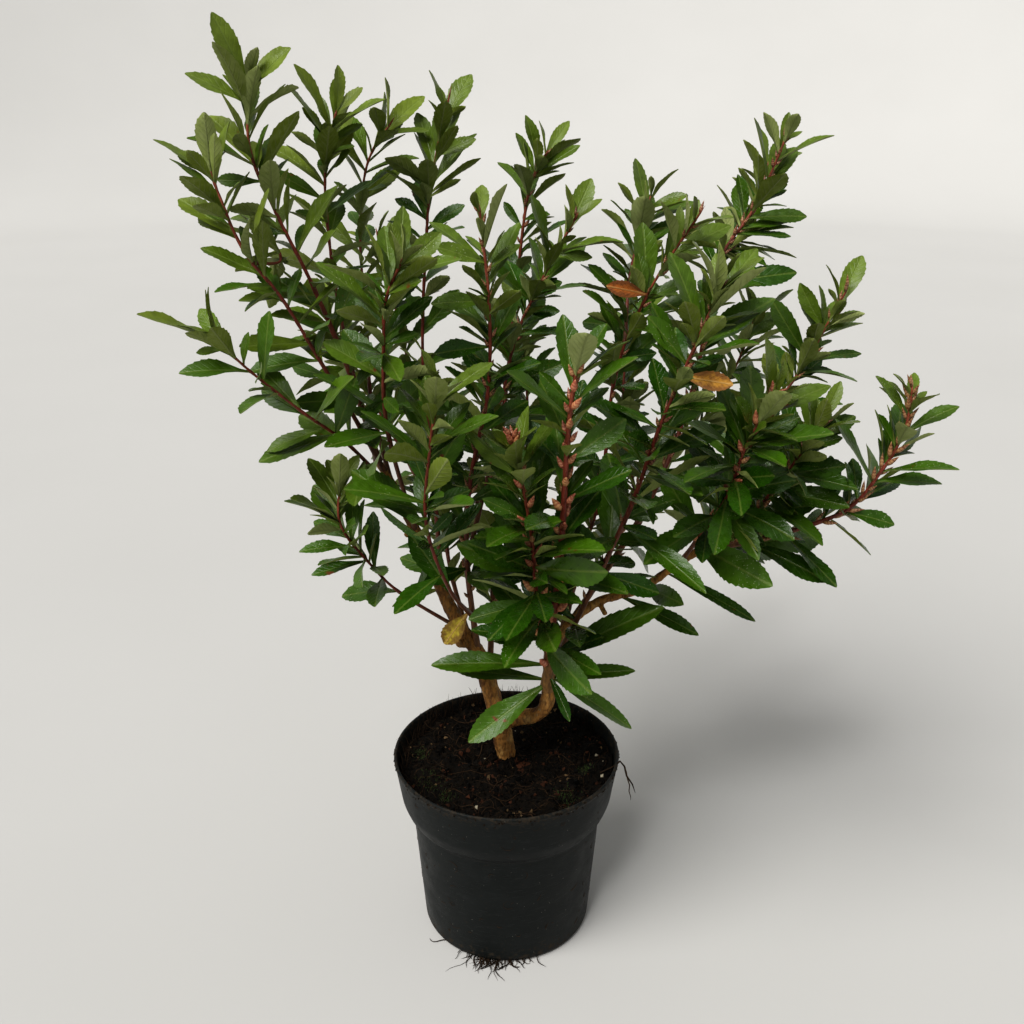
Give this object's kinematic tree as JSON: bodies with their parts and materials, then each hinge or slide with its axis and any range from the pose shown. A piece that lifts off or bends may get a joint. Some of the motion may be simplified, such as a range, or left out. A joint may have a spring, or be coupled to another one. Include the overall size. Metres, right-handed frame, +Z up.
{
  "type": "potted bog myrtle",
  "caption": "Young many-stemmed bog myrtle with toothed leaves and winter buds, growing in a round collared nursery pot filled with peat.",
  "frame": {"origin": "centre of the pot's base, on the surface it stands on", "axes": "+Z up along the pot's axis; the side of the shrub seen in the picture looks towards -Y, and +X is to the right in it"},
  "size_m": [0.4386, 0.2969, 0.5676],
  "materials": {
    "pot_plastic": "dull dark grey, scuffed and dusty",
    "peat": "moist, fibrous, near black",
    "bark": "smooth orange-brown bark with darker patches",
    "foliage": "green leaves, glossier above than below, on red-brown stems"
  },
  "bodies": {
    "root": {"pot": "pot_plastic", "soil": "peat", "trunk": "bark", "left_tall": "foliage", "left_outer": "foliage", "left_twig": "foliage", "left_middle": "foliage", "left_inner": "foliage", "left_front": "foliage", "left_low": "foliage", "left_lowest": "foliage", "crown_left": "foliage", "crown_back_left": "foliage", "crown_middle": "foliage", "crown_back": "foliage", "crown_right": "foliage", "crown_front": "foliage", "front_stem": "foliage", "front_twin": "foliage", "right_back": "foliage", "right_dark": "foliage", "right_front": "foliage", "right_tall": "foliage", "right_tall_side": "foliage", "right_outer": "foliage", "right_lowest": "foliage", "right_middle": "foliage", "right_near": "foliage", "back_left": "foliage", "back_middle": "foliage", "back_right": "foliage", "back_low": "foliage"}
  },
  "joints": []
}
